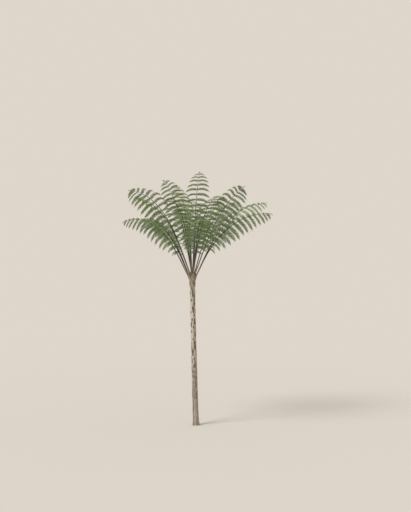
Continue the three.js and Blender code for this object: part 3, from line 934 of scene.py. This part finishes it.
def bark_finish():
    """Pale, fibrous grey-brown bark, with painted shade in the leaf scars' hollows, dark furrows, worn rims
    and greyish roots.
    """
    finish = Finish("bark", (0.2, 0.15, 0.11), (1, 1, 0.14))
    strands = finish.noise(85, 6, 0.62)
    fine = finish.noise(330, 3)
    blotches = finish.noise(9, 3)
    pit_shade, rim, root, streak = (finish.attribute(name) for name in ("pit_shade", "rim", "root", "streak"))
    colour = finish.mixed(finish.ranged(blotches, 0.35, 0.65), *BARK_PATCHES)
    colour = finish.mixed(finish.ranged(strands, 0.44, 0.7, 0, 0.6), colour, BARK_STRANDS)
    rooty = finish.mixed(finish.ranged(strands, 0.35, 0.65), *ROOTY_BARK)
    colour = finish.mixed(finish.ranged(root, 0.1, 0.7, 0, 0.75), colour, rooty)
    colour = finish.mixed(finish.ranged(rim, 0.25, 0.9, 0, 0.5), colour, WORN_RIM)
    damp = finish.mixed(finish.ranged(strands, 0.35, 0.65), *DAMP_BARK)
    colour = finish.mixed(finish.ranged(streak, 0.1, 0.7, 0, 0.85), colour, damp)
    # painted shade: the scars' hollows darkened nearly to black-brown
    colour = finish.mixed(finish.ranged(pit_shade, 0.05, 0.5, 0, 0.88), colour, SCAR_PIT_SHADE)
    finish.feed(finish.shader.inputs["Base Color"], colour)
    finish.roughen(strands, 0.78, 0.95)
    finish.bump(strands, 0.004, 0.7)
    finish.bump(fine, 0.0012, 0.5)
    return finish.material


def wiry_finish(name, colour):
    finish = Finish(name, colour, (1, 1, 0.2))
    strands = finish.noise(160)
    finish.roughen(strands, 0.6, 0.85)
    finish.bump(strands, 0.0008, 0.6)
    return finish.material


def papery_finish(name, colour):
    finish = Finish(name, colour)
    grain = finish.noise(420, 2)
    finish.roughen(grain, 0.45, 0.7)
    finish.bump(grain, 0.0003, 0.5)
    return finish.material


def stalk_finish(name, colour):
    finish = Finish(name, colour)
    grain = finish.noise(240, 3)
    finish.roughen(grain, 0.38, 0.6)
    finish.bump(grain, 0.0005, 0.5)
    return finish.material


def leaf_finish(name, colour):
    finish = Finish(name, colour)
    finish.roughen(finish.noise(120, 2), 0.42, 0.62)
    finish.bump(finish.noise(700, 2), 0.0002, 0.4)
    return finish.material


def shades(name, stops, count):
    """Names and colours between some stops, each a share of the rib and its colour, closest at the foot."""
    places, colours = zip(*stops)
    steps = ((np.arange(count) + 0.5) / count) ** 2
    channels = [np.interp(steps, places, channel) for channel in zip(*colours)]
    return [(f"{name}_{k + 1}", tuple(map(float, colour))) for k, colour in enumerate(zip(*channels))]


ROOT_TINTS = [
    ("root_dark", (0.18, 0.145, 0.115)),
    ("root_brown", (0.31, 0.26, 0.212)),
    ("root_grey", (0.45, 0.4, 0.34)),
]
SCALE_TINTS = [
    ("scale_straw", (0.56, 0.49, 0.385)),
    ("scale_gold", (0.43, 0.35, 0.255)),
    ("scale_chestnut", (0.24, 0.175, 0.122)),
]
RIB_SHADES = 24
RIB_STOPS = (
    (0.0, (0.42, 0.35, 0.265)),
    (0.06, (0.26, 0.21, 0.155)),
    (0.16, (0.075, 0.057, 0.042)),
    (0.25, (0.036, 0.024, 0.016)),
    (0.6, (0.032, 0.022, 0.014)),
    (0.85, (0.05, 0.04, 0.022)),
    (1.0, (0.09, 0.1, 0.036)),
)
RIB_TINTS = shades("rib", RIB_STOPS, RIB_SHADES)
STALKLET_TINTS = [("stalklet_brown", (0.1, 0.09, 0.035)), ("stalklet_green", (0.13, 0.16, 0.05))]
LEAF_TINTS = [
    ("leaf_deep", (0.085, 0.145, 0.05)),
    ("leaf_dark", (0.108, 0.178, 0.06)),
    ("leaf_green", (0.135, 0.21, 0.072)),
    ("leaf_bright", (0.165, 0.245, 0.082)),
    ("leaf_fresh", (0.2, 0.285, 0.095)),
    ("leaf_yellow", (0.25, 0.315, 0.11)),
]
LEAF_FINISHES = [leaf_finish(*row) for row in LEAF_TINTS]

# Stage, light and camera

BACKDROP = (0.73, 0.672, 0.591)
FLOOR_COLOUR = (0.545, 0.524, 0.492)
FLOOR_RADIUS = 160
KEY_FROM = (-0.56, -0.5, 0.78)
KEY_STRENGTH = 2.6
KEY_SOFTNESS = 26
FLOOR_FADE = (7, 20)  # from the plant's foot
CAMERA_AT = (0.228, -24, 4.056)
CAMERA_LENS = 70.3125


def make_floor():
    """A plain pale floor that runs out into the colour of the backdrop."""
    bpy.ops.mesh.primitive_circle_add(vertices=96, radius=FLOOR_RADIUS, fill_type="NGON")
    floor = bpy.context.object
    floor.name = "floor"
    finish = Finish("floor", FLOOR_COLOUR)
    finish.shader.inputs["Roughness"].default_value = 0.9
    finish.shader.inputs["Specular IOR Level"].default_value = 0.0
    far = finish.node("VectorMath", {"operation": "LENGTH"})
    finish.feed(far.inputs[0], finish.place)
    glow = finish.node("Emission", Color=(*BACKDROP, 1), Strength=1.0)
    blend = finish.node("MixShader")
    finish.feed(blend.inputs[0], finish.ranged(far.outputs["Value"], *FLOOR_FADE))
    finish.feed(blend.inputs[1], finish.shader.outputs[0])
    finish.feed(blend.inputs[2], glow.outputs[0])
    finish.feed(finish.tree.nodes["Material Output"].inputs["Surface"], blend.outputs[0])
    floor.data.materials.append(finish.material)
    floor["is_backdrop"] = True


def make_light():
    world = bpy.data.worlds.new("studio")
    world.use_nodes = True
    world.node_tree.nodes["Background"].inputs["Color"].default_value = (*BACKDROP, 1)
    bpy.context.scene.world = world
    key = bpy.data.lights.new("key", "SUN")
    key.energy = KEY_STRENGTH
    key.angle = math.radians(KEY_SOFTNESS)
    lamp = bpy.data.objects.new("key", key)
    lamp.rotation_euler = Vector(KEY_FROM).to_track_quat("Z", "Y").to_euler()
    bpy.context.scene.collection.objects.link(lamp)


def make_camera():
    camera = bpy.data.objects.new("camera", bpy.data.cameras.new("camera"))
    camera.data.lens = CAMERA_LENS
    camera.data.clip_end = 500
    camera.location = CAMERA_AT
    camera.rotation_euler = (math.pi / 2, 0, 0)
    bpy.context.scene.collection.objects.link(camera)
    bpy.context.scene.camera = camera
    bpy.context.scene.view_settings.view_transform = "Standard"


make_camera()
make_light()
make_floor()
fern_ribs = grow_fronds()
make_trunk()
make_roots()
make_head_scales(fern_ribs)
make_ribs(fern_ribs)
low, mid, top = (
    [rib for rib in fern_ribs if rib.frond["whorl"] == whorl] for whorl in ("low", "mid", "top")
)
make_leaflets(fern_ribs, {
    "pinnules_low_a": low[:4],
    "pinnules_low_b": low[4:],
    "pinnules_mid_a": mid[:4],
    "pinnules_mid_b": mid[4:],
    "pinnules_top": top,
})

boxes = {"cad": cad_box, "visual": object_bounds()}
lists = {key: [[float(value) for value in corner] for corner in box] for key, box in boxes.items()}
